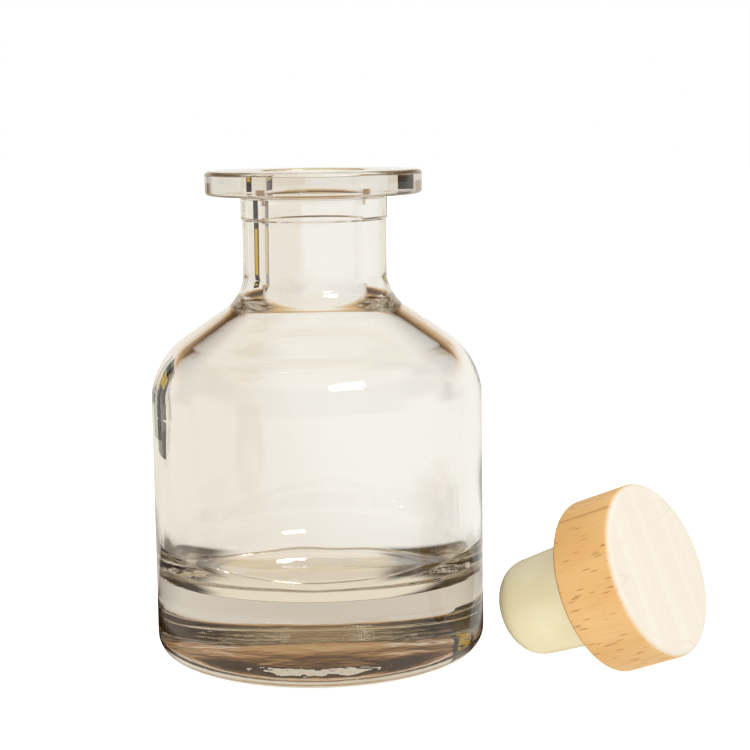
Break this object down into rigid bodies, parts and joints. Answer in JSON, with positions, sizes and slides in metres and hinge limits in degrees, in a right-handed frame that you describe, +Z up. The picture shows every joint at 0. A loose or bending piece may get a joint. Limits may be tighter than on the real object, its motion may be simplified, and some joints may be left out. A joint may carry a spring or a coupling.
{
  "type": "aftershave bottle",
  "caption": "Round thick-based glass bottle with an open flanged neck, and a T-shaped stopper, a turned wooden cap on a tapered polymer plug, lying beside it.",
  "frame": {"origin": "centre of the bottle's base, in the plane of the ring that it stands on", "axes": "+Z up along the bottle's axis and out of its mouth; the stopper lies towards +X and a little towards -Y"},
  "size_m": [0.1024, 0.0655, 0.0903],
  "materials": {
    "tinted_glass": "smooth moulded flint glass with a thin champagne tint",
    "beech": "fine-sanded turned beech, unvarnished",
    "cream_polymer": "satin moulded thermoplastic elastomer",
    "wood_glue": "wood glue dried to a hazy amber film"
  },
  "bodies": {
    "bottle": {"glass_bottle": "tinted_glass"},
    "stopper": {"wooden_cap": "beech", "stopper_plug": "cream_polymer", "glue_film": "wood_glue"}
  },
  "joints": [
    {"name": "stopper_carry", "type": "hinge", "parent": "bottle", "child": "stopper", "pos_m": [-0.04149, 0.06223, 0.04387], "axis": [-0.6583, -0.7306, -0.1813], "range_deg": [0, 68.36]}
  ]
}
